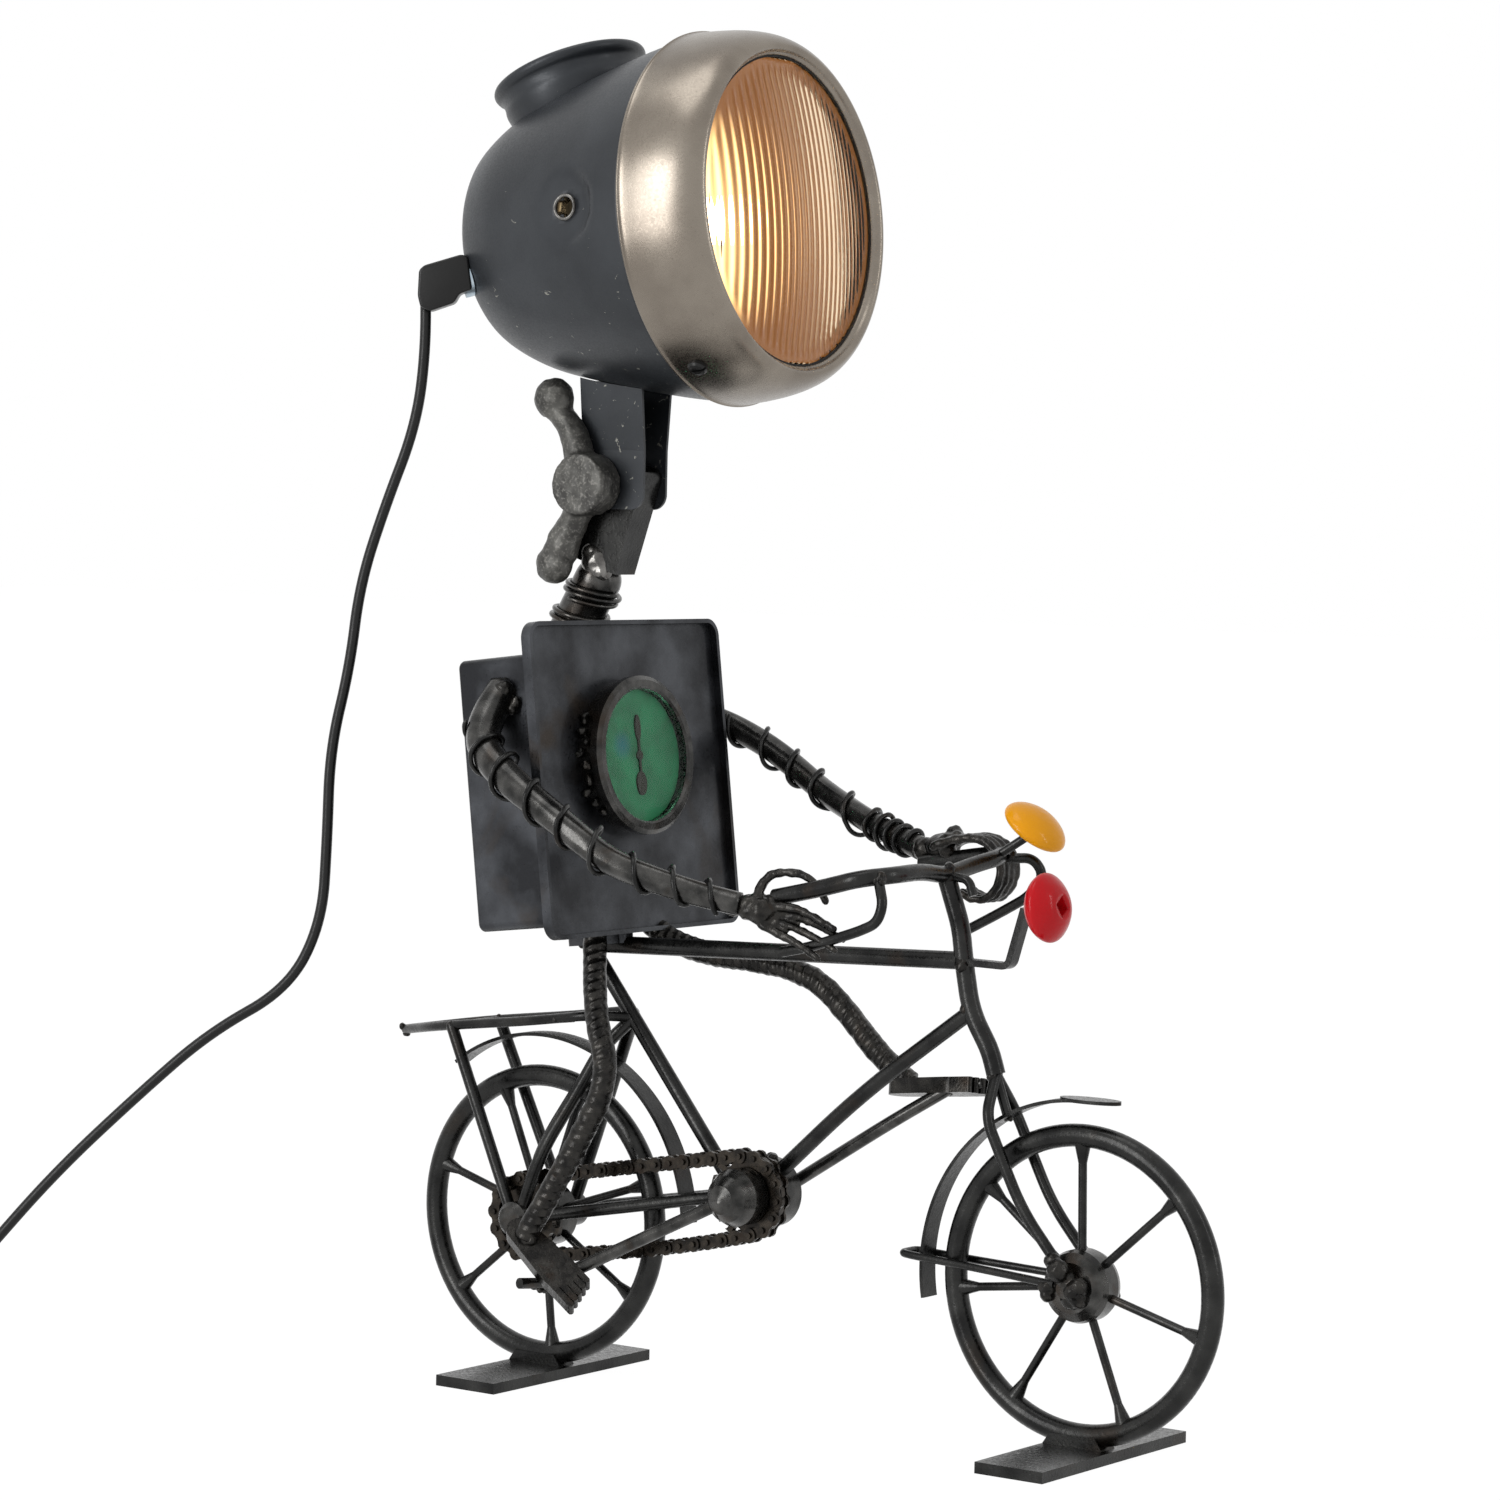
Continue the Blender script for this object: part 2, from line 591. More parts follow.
FINISHES = {
    # Frame and wheels: nearly black, with sharp glints.
    "dark_steel": lambda: wrought_steel(
        "varnished_mild_steel", "#191919", "#313130", "#2b241e", grit=1.4, stained=0.6
    ),
    # Run metal: small clouds and a lumpy gloss.
    "weld_metal": lambda: wrought_steel(
        "varnished_weld_metal", "#181716", "#363431", "#2b231c", cloud=6.0, grit=1.2, dent=0.4, stained=0.6
    ),
    # Flat sheet: broad blue-grey clouds, nearly smooth.
    "sheet_steel": lambda: wrought_steel(
        "mottled_sheet_steel", "#212225", "#46484c", "#332d28", cloud=24.0, rough=(0.26, 0.5), dent=0.06
    ),
    # Ground with a disc: paler, with a brighter gloss.
    "ground_steel": lambda: wrought_steel(
        "ground_mild_steel", "#262625", "#51504e", "#332c26", cloud=9.0, rough=(0.16, 0.34), dent=0.12
    ),
    # Polished: the palest steel, nearly a mirror.
    "polished_steel": lambda: wrought_steel(
        "polished_weld_metal", "#4a4846", "#7e7c79", "#4a423a", cloud=6.0, rough=(0.14, 0.3), dent=0.1
    ),
    # Oiled chain: brown-black and smooth.
    "chain_steel": lambda: wrought_steel(
        "oiled_chain_steel", "#1b1815", "#3a342d", "#271f18", cloud=4.0, grit=0.8, rough=(0.2, 0.36), dent=0.1
    ),
    "cast_metal": sand_cast_iron,
    "grey_paint": satin_paint,
    "satin_nickel": satin_nickel,
    "yellow_enamel": lambda: brushed_enamel(
        "yellow_brushed_enamel", bpy.context.scene.desklamp_finishes.bell, "#7a4f08"
    ),
    "red_enamel": lambda: brushed_enamel(
        "red_brushed_enamel", bpy.context.scene.desklamp_finishes.front_lamp, "#5c0d10"
    ),
    "dial_green": printed_dial,
    "needle_brown": lambda: moulded_plastic("painted_tin_needle", "#2c2622", 1.5, 0.5),
    "clear_glass": lambda: clear_glass("gauge_window_glass", "#f4fbf7", 20.0, 0.1, index=1.12),
    "lens_glass": lambda: clear_glass("pressed_lens_glass", "#ffe6c2", 12.0, 0.05, index=1.28),
    "mirror_bowl": silvered_reflector,
    "bulb_glass": lit_bulb,
    "zinc": galvanised_zinc,
    "black_rubber": lambda: moulded_plastic("black_seal_rubber", "#1a1918", 1.0, 0.7),
    "black_plastic": lambda: moulded_plastic("moulded_black_plastic", "#141414", 0.8, 0.34),
    "cord_pvc": lambda: moulded_plastic("extruded_pvc_sheath", "#101010", 1.6, 0.36),
}
made_finishes = {}


def finish_of(name):
    """The material of a finish, made once."""
    if name not in made_finishes:
        made_finishes[name] = FINISHES[name]()
    return made_finishes[name]


# ---- cord
CORD_ROUTE = (
    (-0.5, 476), (3.5, 441), (17, 404), (28, 368), (32, 330), (40.5, 292), (41.2, 250), (43, 212), (58, 181),
    (94, 160), (126, 131), (164, 94), (198, 54), (222, 24.5), (238, 12.2), (248, 8.9), (256, 8.5), (284, 8.5),
    (312, 8.5), (324.1, 7.7), (334, 6.3, 9.9), (336, 4.0, 28),
)
CORD_SIDES = 14
# How far below its exit the cord starts to follow the head.
COIL_AWAY = 306.5
COIL_SIDE = 48.0
COIL_MIDDLE = hang(COIL_AWAY, 0, COIL_SIDE)
COIL_POINTS_PER_TURN = 16
# Turn, radius and height of the middle of the cord, in three layers of turns.
COIL_STAGES = (
    (0.25, 32.4, 2.6),
    (2.25, 22.4, 2.6),
    (2.6, 22.4, 6.9),
    (4.6, 32.4, 6.9),
    (4.9, 31.4, 11.0),
    (6.0, 26.6, 11.0),
    (6.2, 28.0, 13.2),
)
# From the last turn round into the back of the plug, measured from the coil's middle.
PLUG_LEAD = ((27.6, 2.0, 15.0), (26.6, 13.0, 17.5), (22.5, 21.5, 20.0), (16.0, 23.0, 20.5))


def coil_point(turn, radius, height):
    """A point of the coil, which winds clockwise from where the cord reaches it."""
    angle = FULL_TURN * turn
    level = COIL_MIDDLE + radius * (math.sin(angle) * CORD_AWAY - math.cos(angle) * CORD_SIDE)
    return level + height * UP


def coil_points():
    """The coil's turns, as points of the cord's own line."""
    points = []
    count = round((COIL_STAGES[-1][0] - COIL_STAGES[0][0]) * COIL_POINTS_PER_TURN)
    for i in range(count + 1):
        turn = COIL_STAGES[0][0] + i / COIL_POINTS_PER_TURN
        for start, end in zip(COIL_STAGES, COIL_STAGES[1:]):
            if start[0] <= turn <= end[0] + 1e-6:
                share = (turn - start[0]) / (end[0] - start[0])
                radius = start[1] + (end[1] - start[1]) * share
                height = start[2] + (end[2] - start[2]) * share
                points.append(coil_point(turn, radius, height))
                break
    return points


def build_cord(diameter):
    """The cord as one tube from the headlamp's elbow through the switch to the coil and the plug."""
    run = [hang(*point) for point in CORD_ROUTE]
    lead = [hang(COIL_AWAY + away, height, COIL_SIDE + side) for away, side, height in PLUG_LEAD]
    line = smooth_line([point * MM for point in [CORD_EXIT, *run, *coil_points(), *lead]])
    bm = bmesh.new()
    bar(bm, line, lambda share, angle: diameter / 2, CORD_SIDES)
    cord = piece("cord_run", bm, "cord_pvc", None, "cord_pvc", "cord", "cord_coil")
    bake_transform(cord)


# ---- headlamp
SHELL_WALL = 1.2
BOWL_OUTLINE = (
    (-39.4, 83.0), (-60.0, 79.2), (-83.0, 73.9), (-107.0, 67.6), (-129.0, 60.6), (-145.5, 52.0),
    (-152.6, 45.2), (-157.6, 34.0), (-159.8, 20.0), (-160.4, 7.0), (-160.4, 0.0),
)
SEAT_STATION = -75.0
SEAT_TURN = math.radians(4.0)
SEAT_SLOPE = math.radians(4.5)
SEAT_LEVEL = 73.0
SEAT_FLAT = 14.5
SEAT_EDGE = 18.5
SEAT_REACH = 20.0
EYELET_HOLE = 4.3
EYELET_OUTLINE = (
    (0.9, 4.6), (1.4, 5.0), (1.4, 5.5), (0.9, 6.0), (-0.3, 6.3), (-3.5, 5.4), (-6, 4.7), (-6, 4.4),
    (0.4, 4.4), (0.9, 4.6),
)


def build_bowl():
    """The bowl: a deep pressed shell with a flat seat on the right, whose hole a rolled eyelet lines."""
    bm = bmesh.new()
    turned(bm, smooth_outline(BOWL_OUTLINE, 7), 220, Matrix.Identity(4))
    radial = Vector((0, -math.cos(SEAT_TURN), math.sin(SEAT_TURN)))
    seat_middle = Vector((SEAT_STATION, 0, 0)) + SEAT_LEVEL * radial
    seat_out = (radial - math.tan(SEAT_SLOPE) * Vector((1, 0, 0))).normalized()
    for vertex in bm.verts:
        offset = vertex.co - seat_middle
        height = offset.dot(seat_out)
        distance = (offset - height * seat_out).length
        if abs(height) < SEAT_REACH and distance < SEAT_EDGE:
            share = min(max((SEAT_EDGE - distance) / (SEAT_EDGE - SEAT_FLAT), 0), 1)
            share = share * share * (3 - 2 * share)
            vertex.co -= share * height * seat_out
    near_hole = [
        face for face in bm.faces if (face.calc_center_median() - seat_middle).length < EYELET_HOLE + 0.6
    ]
    bmesh.ops.delete(bm, geom=near_hole, context="FACES")
    place_at(bm, LAMP_PLACE)
    wall(piece("lamp_bowl", bm, "grey_paint", "head", "grey_paint", "headlamp_bowl"), SHELL_WALL)
    eyelet = bmesh.new()
    seat_turn = turn_to(seat_out, Vector((1, 0, 0)))
    turned(eyelet, EYELET_OUTLINE, 40, LAMP_PLACE @ Matrix.Translation(seat_middle) @ seat_turn)
    piece("seat_eyelet", eyelet, "polished_steel", "head", "ground_steel")


BEZEL_OUTLINE = (
    (-39.6, 83.2), (-40.0, 84.4), (-38.9, 85.0), (-37.4, 84.3), (-29.0, 83.8), (-20.0, 82.9), (-12.5, 81.5),
    (-6.6, 79.6), (-2.6, 77.3), (-0.4, 74.9), (0.0, 73.2), (-0.8, 71.9), (-2.4, 71.0), (-3.4, 70.0),
    (-5.0, 69.6),
)


def build_bezel():
    """The bezel: a plated ring with a rolled edge at the seam and a rolled lip round the glass."""
    bm = bmesh.new()
    turned(bm, smooth_outline(BEZEL_OUTLINE, 4), 192, LAMP_PLACE)
    wall(piece("plated_bezel", bm, "satin_nickel", "head", "satin_nickel", "headlamp_bezel"), SHELL_WALL)


LENS_RADIUS = 72.4
LENS_SEAT = -5.2
LENS_THICKNESS = 2.6
LENS_DOME = 5.0
LENS_ROWS = 44
LENS_COLUMNS = 420
FLUTE_PITCH = 4.8
FLUTE_DEPTH = 0.34
FLUTE_BOW = 7.0
FLUTE_SPREAD = 0.22
# Where the flutes end, and over how much they fade, as shares of the lens's radius.
FLUTE_END = 0.9
FLUTE_FADE = 0.025


def build_lens():
    """The lens: domed pressed glass, smooth inside, with upright flutes inside a plain rim."""
    bm = bmesh.new()
    facing = Matrix.Rotation(math.radians(90), 4, "Y")
    bmesh.ops.create_grid(
        bm, x_segments=LENS_ROWS, y_segments=LENS_COLUMNS, size=LENS_RADIUS, matrix=facing
    )
    outside = [v for v in bm.verts if math.hypot(v.co.y, v.co.z) > LENS_RADIUS]
    bmesh.ops.delete(bm, geom=outside, context="VERTS")
    inner = set(new_verts(bmesh.ops.duplicate(bm, geom=bm.faces[:])))
    for vertex in bm.verts:
        left, up = vertex.co.y, vertex.co.z
        reach = math.hypot(left, up) / LENS_RADIUS
        dome = LENS_DOME * (1 - reach * reach)
        if vertex in inner:
            vertex.co.x = LENS_SEAT + dome - LENS_THICKNESS
            continue
        # The flutes bow to the left at mid-height and grow wider towards the right edge.
        across = left - FLUTE_BOW * (1 - (up / LENS_RADIUS) ** 2)
        count = (across + FLUTE_SPREAD * across * across / LENS_RADIUS) / FLUTE_PITCH
        edge = min(max((FLUTE_END - reach) / FLUTE_FADE, 0), 1)
        flute = FLUTE_DEPTH * edge * math.cos(FULL_TURN * count)
        vertex.co.x = LENS_SEAT + dome + flute
    bmesh.ops.bridge_loops(bm, edges=[edge for edge in bm.edges if edge.is_boundary])
    face_outwards(bm)
    place_at(bm, LAMP_PLACE)
    piece("fluted_lens", bm, "lens_glass", "head", "lens_glass", "headlamp_lens")


# Distance out from the cord's exit and height above it, round the moulding's side.
ELBOW_OUTLINE = (
    (-19.5, 22.6), (-16.2, 23.5), (0.6, 18.2), (2.9, 15.9), (3.3, 4.4), (2.0, -0.6), (-2.4, -2.6),
    (-13.4, 1.4), (-15.6, 5.5), (-21.5, 7.7),
)
ELBOW_HALF = 7.8
ELBOW_ROUNDING = 1.1


def build_elbow():
    """The elbow: a boxy two-part moulding held by a washer, with the cord leaving its lower corner."""
    bm = bmesh.new()
    side = bm.faces.new([bm.verts.new((away, -ELBOW_HALF, height)) for away, height in ELBOW_OUTLINE])
    lifted = new_verts(bmesh.ops.extrude_face_region(bm, geom=[side]))
    bmesh.ops.translate(bm, vec=(0, 2 * ELBOW_HALF, 0), verts=lifted)
    face_outwards(bm)
    bmesh.ops.bevel(
        bm,
        geom=bm.edges[:],
        offset=ELBOW_ROUNDING,
        segments=3,
        profile=0.5,
        affect="EDGES",
        clamp_overlap=True,
        material=-1,
    )
    place_at(bm, axes(CORD_EXIT, CORD_AWAY, CORD_SIDE, UP))
    face_outwards(bm)
    piece("moulded_elbow", bm, "black_plastic", "head", "black_plastic", "cord_elbow")


CUP_OUTLINE = (
    (0.0, 31.4), (1.4, 32.6), (1.9, 34.2), (1.2, 35.8), (-0.6, 36.4), (-2.6, 35.6), (-4.4, 34.0),
    (-7.5, 33.4), (-11.0, 33.6), (-16.0, 32.4), (-21.0, 30.6), (-27.0, 29.8), (-40.0, 29.4),
)
CUP_MOUTH = head(-26, 0, 188.7)
CUP_LEAN = math.radians(22.6)
CUP_WALL = 1.4


def build_cup():
    """The open cup on top: a flared collar with a rolled lip, where a speedometer once sat."""
    cup_up = Matrix.Rotation(HEAD_YAW, 3, "Z") @ Vector((-math.sin(CUP_LEAN), 0, math.cos(CUP_LEAN)))
    bm = bmesh.new()
    turned(bm, smooth_outline(CUP_OUTLINE, 4), 120, axes(CUP_MOUTH, cup_up, HEAD_LEFT))
    wall(piece("open_cup", bm, "grey_paint", "head", "grey_paint", "gauge_cup"), CUP_WALL)


# ---- arms and the wire round them
SHOULDER_SIDE = 60.0
RIGHT_GRIP = front(-128.5, -54, 162.5)
LEFT_GRIP = front(-124, 54, 172)
RIGHT_WRIST = RIGHT_GRIP + Vector((-13, -8, -3.5))
LEFT_WRIST = LEFT_GRIP + Vector((-4, 7, 6))
RIGHT_BEND = torso(-24.5, -SHOULDER_SIDE - 20, 12)
LEFT_BEND = torso(19, SHOULDER_SIDE + 25, 7)
RIGHT_ARM = (
    torso(-27, -SHOULDER_SIDE + 2, 42.7),
    torso(-31, -SHOULDER_SIDE - 12, 29),
    RIGHT_BEND,
    RIGHT_BEND + 0.39 * (RIGHT_WRIST - RIGHT_BEND) + Vector((0, -15.4, -3.3)),
    RIGHT_BEND + 0.64 * (RIGHT_WRIST - RIGHT_BEND) + Vector((0, -13.2, -10.5)),
    RIGHT_WRIST,
)
LEFT_ARM = (
    torso(-31, SHOULDER_SIDE - 2, 32),
    torso(-29, SHOULDER_SIDE + 14, 31),
    torso(-8, SHOULDER_SIDE + 24, 23),
    LEFT_BEND,
    LEFT_BEND + 0.45 * (LEFT_WRIST - LEFT_BEND) + Vector((0, 6, -9)),
    LEFT_WRIST,
)
# The turn that the wire has reached at a share of the arm's length.
RIGHT_WINDING = (
    (0.12, 0.0), (0.2, 1.0), (0.3, 2.1), (0.42, 3.0), (0.53, 4.0), (0.64, 5.1), (0.75, 6.0), (0.86, 7.1),
    (0.96, 8.2),
)
LEFT_WINDING = (
    (0.22, 0.0), (0.34, 1.0), (0.46, 2.1), (0.56, 3.2), (0.68, 4.0), (0.79, 5.0), (0.84, 6.2), (0.93, 8.4),
    (0.97, 9.2),
)
# Each arm's node, line, radius at the shoulder and at the wrist, and winding.
ARMS = (("right_arm", RIGHT_ARM, 8.2, 5.2, RIGHT_WINDING), ("left_arm", LEFT_ARM, 6.2, 5.4, LEFT_WINDING))
WIRE_RADIUS = 1.15
WIRE_SLACK = 2.2
WIRE_STEPS = 22


def build_arms():
    """Arms of tapering tube, a little flat where they were hammered."""
    for node, points, first, last, _ in ARMS:

        def hammered(share, angle, first=first, last=last):
            facets = 0.12 * math.cos(5 * angle + 9 * share) + 0.1 * math.cos(3 * angle - 25 * share)
            return first + (last - first) * share + facets

        bm = bmesh.new()
        bar(bm, limb_line(points), hammered, sides=28)
        place_at(bm)
        piece(f"{node}_tube", bm, "ground_steel", "stand", "dark_steel", node)


def wire_line(points, first, last, stages):
    """A loose winding round a limb, which stands off here and there."""
    middle = limb_line(points, 0.5)
    frames = frames_along(middle)
    line = []
    for (start_share, start_turn), (end_share, end_turn) in zip(stages, stages[1:]):
        count = max(2, round((end_turn - start_turn) * WIRE_STEPS))
        for i in range(count):
            share = start_share + (end_share - start_share) * i / count
            turn = start_turn + (end_turn - start_turn) * i / count
            angle = FULL_TURN * turn
            index = round(share * (len(middle) - 1))
            _, cross, other = frames[index]
            wave = math.sin(FULL_TURN * (turn + 0.2)) * noise.noise(Vector((turn, 3, 1))) * 3
            reach = first + (last - first) * share + WIRE_RADIUS + WIRE_SLACK * max(0, wave)
            line.append(middle[index] + reach * (math.cos(angle) * cross + math.sin(angle) * other))
    return line


def build_wires():
    """Wire wound round each arm in uneven turns."""
    bm = bmesh.new()
    for _, points, first, last, stages in ARMS:
        winding = even_line(through(wire_line(points, first, last, stages), 2))
        bar(bm, winding, tapered(WIRE_RADIUS, WIRE_RADIUS, 0.004), sides=8)
    place_at(bm)
    piece("wound_wires", bm, "dark_steel", "stand", "dark_steel", "arm_wires")


# ---- hands
PALM = RIGHT_WRIST + Vector((9, 2, -2))
KNUCKLE = LEFT_WRIST + Vector((12, -2, 2))
# How far each finger of the right hand spreads, drops and reaches.
FINGERS = ((0, 3, 38), (3.0, -1.5, 41), (1, -6, 38), (-2.0, -10, 31))
# The curl of each finger of the left hand, ahead of and above the knuckle.
CURL = ((0, 0), (17, 7), (35, 4), (40, -12), (28, -25), (14, -18))
FINGER_PITCH = 4.4


def build_hands():
    """Hands of bent rod on lumps of weld metal: the right lies on its grip, the left holds the bar."""
    bm = bmesh.new()
    for start, radius in ((Vector((-3, 0, 0)), 5.6), (Vector((4, 1, -1)), 6.0), (PALM - RIGHT_WRIST, 6.6)):
        lump(bm, RIGHT_WRIST + start, radius, (1.1, 0.85, 1))
    bead(bm, PALM + Vector((5, 2, 1)), 4.4, 3, 5, 0.7)
    for spread, drop, reach in FINGERS:
        finger = (
            PALM + Vector((0, spread / 2, drop / 2)),
            PALM + Vector((0.33 * reach, 3 + spread, drop)),
            PALM + Vector((0.7 * reach, 4 + spread, drop - 4)),
            PALM + Vector((reach, 5 + spread, drop - 10)),
        )
        bar(bm, even_line(smooth_line(finger)), tapered(2.3, 1.5, 0.05))
    thumb = (
        PALM + Vector((-1, -2, 3)),
        RIGHT_GRIP + Vector((-6, -1, 9)),
        RIGHT_GRIP + Vector((6, 1, 12)),
        RIGHT_GRIP + Vector((19, 4, 9)),
        RIGHT_GRIP + Vector((24, 6, -2)),
    )
    bar(bm, even_line(smooth_line(thumb)), tapered(2.4, 1.6, 0.05))
    lump(bm, LEFT_WRIST + Vector((2, -1, 0)), 6.2)
    lump(bm, KNUCKLE, 7.2, (1.2, 1.1, 0.9))
    bead(bm, KNUCKLE + Vector((6, -2, 4)), 4.6, 8, 7, 0.9)
    for i in range(4):
        finger = [KNUCKLE + Vector((ahead, 2 - FINGER_PITCH * i, up)) for ahead, up in CURL]
        bar(bm, even_line(smooth_line(finger)), tapered(2.3, 1.8, 0.03))
    place_at(bm)
    skin = roughened(melted(bm, 0.75, 2), 0.5, 3.0, 4)
    piece("welded_hands", skin, "weld_metal", "stand", "dark_steel", "hands")


# ---- legs
RIGHT_ANKLE = crank(-103.6, -42, -26.5)
LEFT_ANKLE = crank(59.7, 28, 52.8)
RIGHT_LEG = (
    torso(-20, -14, -66),
    rear(46.3, -26, 101.9),
    rear(62.7, -33, 74.4),
    crank(-75, -37, 22),
    RIGHT_ANKLE,
)
LEFT_LEG = (
    torso(-12, 14, -66),
    rear(60, 15, 127.5),
    rear(125, 22, 124.5),
    rear(146, 25, 112),
    crank(46, 27, 61),
    LEFT_ANKLE,
)
LEG_RADIUS = 5.1
LEG_STEP = 0.7
RIB_PITCH = 4.6
RIB_HEIGHT = 0.55
SEAM_HEIGHT = 0.35
DENT_DEPTH = 0.45


def build_legs():
    """Legs of ribbed reinforcing bar: two rows of slanting ribs with a seam between them."""
    bm = bmesh.new()
    for points in (RIGHT_LEG, LEFT_LEG):
        line = limb_line(points, LEG_STEP)
        length = LEG_STEP * (len(line) - 1)

        def ribbed(share, angle, length=length):
            wave = math.cos(FULL_TURN * share * length / RIB_PITCH - 2 * angle)
            seam = abs(math.cos(angle)) ** 8
            rib = RIB_HEIGHT * max(wave, -0.2) * (1 - seam)
            dent = DENT_DEPTH * noise.noise(Vector((share * length / 5, math.cos(angle), math.sin(angle))))
            return LEG_RADIUS + rib + SEAM_HEIGHT * seam + dent

        bar(bm, line, ribbed, sides=30)
    place_at(bm)
    piece("ribbed_legs", bm, "weld_metal", "stand", "dark_steel", "legs")


# ---- wing nut
NUT_RADIUS = 14.2
NUT_DEPTH = 15.5
NUT_MIDDLE = 18.0
ARM_PLANE = 16.5
# Places ahead of and above the bolt.
NUT_UPPER_ARM = ((-3, 6), (-6, 16), (-9.5, 25), (-16.5, 33), (-19.8, 39))
NUT_LOWER_ARM = ((-3, -7), (-7, -16), (-13, -27), (-18.2, -37))


def build_wing_nut():
    """A cast wing nut: a thick disc, a long arm with a ball above and a shorter one with a lobe below."""
    bm = bmesh.new()
    bmesh.ops.create_cone(
        bm,
        cap_ends=True,
        segments=48,
        radius1=NUT_RADIUS,
        radius2=NUT_RADIUS,
        depth=NUT_DEPTH,
        matrix=Matrix.Translation((0, NUT_MIDDLE, 0)) @ Matrix.Rotation(math.radians(90), 4, "X"),
    )
    for arm, first, last in ((NUT_UPPER_ARM, 7.6, 5.4), (NUT_LOWER_ARM, 6.4, 8.0)):
        line = through([(ahead, ARM_PLANE, up) for ahead, up in arm], 6)
        bar(bm, even_line(line), tapered(first, last), sides=20)
    lump(bm, Vector((-19.8, ARM_PLANE, 39)), 10.2, (1, 0.8, 1))
    lump(bm, Vector((-17, NUT_MIDDLE, -37)), 9.6, (1, 0.72, 1))
    lump(bm, Vector((-12.5, NUT_MIDDLE, -28)), 8.6, (1, 0.8, 1.3))
    place_at(bm, axes(PIVOT, HEAD_AHEAD, -HEAD_LEFT, UP))
    face_outwards(bm)
    skin = roughened(melted(bm, 0.9, 10), 0.5, 4.0, 2)
    piece("cast_wing_nut", skin, "cast_metal", "wing_nut", "cast_metal", "wing_nut")


# ---- neck
NECK_RADIUS = 11.0
NECK_FOOT = torso(-40.3, 0, 58)
NECK_TOP = head(-5, 0, -44)
# The shares of the neck's length that a winding covers, its turns and where its first turn starts.
NECK_WINDINGS = ((0.45, 0.62, 2.2, 0.1), (0.76, 0.92, 2.3, 0.6))
NECK_WIRE_STEPS = 40


def build_neck():
    """Wire wound loosely round the neck, and the polished dome of weld at its top."""
    bm = bmesh.new()
    # The turns lie flatter than square to the neck.
    wire_up = ((NECK_TOP - NECK_FOOT).normalized() + 0.7 * UP).normalized()
    cross = wire_up.orthogonal().normalized()
    other = wire_up.cross(cross)
    for first_share, last_share, turns, turn_start in NECK_WINDINGS:
        winding = []
        steps = round(turns * NECK_WIRE_STEPS)
        for i in range(steps + 1):
            middle = NECK_FOOT.lerp(NECK_TOP, first_share + (last_share - first_share) * i / steps)
            turn = turn_start + turns * i / steps
            loose = 0.5 + 0.7 * noise.noise(Vector((2.3 * turn, first_share * 9, 4)))
            reach = NECK_RADIUS + WIRE_RADIUS + max(loose, 0)
            angle = FULL_TURN * turn
            winding.append(middle + reach * (math.cos(angle) * cross + math.sin(angle) * other))
        bar(bm, even_line(winding), tapered(WIRE_RADIUS, WIRE_RADIUS, 0.01))
    place_at(bm)
    piece("neck_turns", bm, "ground_steel", "stand", "dark_steel", "neck_wire")
    dome = bmesh.new()
    lump(dome, head(-2.5, -5, -36), 8.6, (0.95, 0.7, 1.05))
    lump(dome, head(-5, -5.5, -31), 5.0)
    lump(dome, head(1, -5.5, -40), 5.0)
    place_at(dome)
    skin = roughened(melted(dome, 0.6, 4), 0.5, 5.0, 5)
    piece("polished_weld", skin, "polished_steel", "stand", "dark_steel")


# ---- chain
CHAIN_PITCH = 8.0
CHAIN_SIDE = 12.0
CHAIN_TILT = math.radians(10.3)
CHAIN_TEETH = 14
CHAIN_RADIUS = CHAIN_PITCH / (2 * math.sin(math.pi / CHAIN_TEETH))
RUN_LINKS = 16
CHAIN_SAG = 2.2
PLATE_REACH = 7.4
PLATE_HALF = 3.5
PLATE_WAIST = 2.3
WAIST_REACH = 3.4
PLATE_THICKNESS = 0.8
INNER_HALF = 1.6
ROLLER_RADIUS = 2.5
PIN_RADIUS = 1.45
PIN_HALF = 4.2


def chain_pins():
    """Pin centres along the chain, clockwise from above the rear disc, x along the line of centres."""
    step = FULL_TURN / CHAIN_TEETH
    centre_distance = RUN_LINKS * CHAIN_PITCH
    pins = [(i * CHAIN_PITCH, CHAIN_RADIUS) for i in range(RUN_LINKS)]
    for i in range(CHAIN_TEETH // 2):
        turn = math.pi / 2 - i * step
        pins.append((centre_distance + CHAIN_RADIUS * math.cos(turn), CHAIN_RADIUS * math.sin(turn)))
    for i in range(RUN_LINKS):
        share = i / RUN_LINKS
        drop = 4 * CHAIN_SAG * share * (1 - share)
        pins.append((centre_distance - i * CHAIN_PITCH, -CHAIN_RADIUS - drop))
    for i in range(CHAIN_TEETH // 2):
        turn = -math.pi / 2 - i * step
        pins.append((CHAIN_RADIUS * math.cos(turn), CHAIN_RADIUS * math.sin(turn)))
    return pins


def link_plate(bm, level, place):
    """A waisted plate of the chain, its lower face at a level across the link."""
    made = bmesh.ops.create_circle(bm, cap_ends=True, segments=26, radius=1)["verts"]
    for vertex in made:
        angle = math.atan2(vertex.co.y, vertex.co.x)
        x = PLATE_REACH * math.cos(angle)
        past = max(abs(x) - (PLATE_REACH - PLATE_HALF), 0)
        bulge = PLATE_WAIST + (PLATE_HALF - PLATE_WAIST) * min(abs(x) / WAIST_REACH, 1) ** 2
        y = min(math.sqrt(max(PLATE_HALF**2 - past**2, 0)), bulge)
        vertex.co = (x, math.copysign(y, vertex.co.y), level)
    top = new_verts(bmesh.ops.extrude_face_region(bm, geom=[made[0].link_faces[0]]))
    bmesh.ops.translate(bm, vec=(0, 0, PLATE_THICKNESS), verts=top)
    bmesh.ops.transform(bm, matrix=place, verts=made + top)


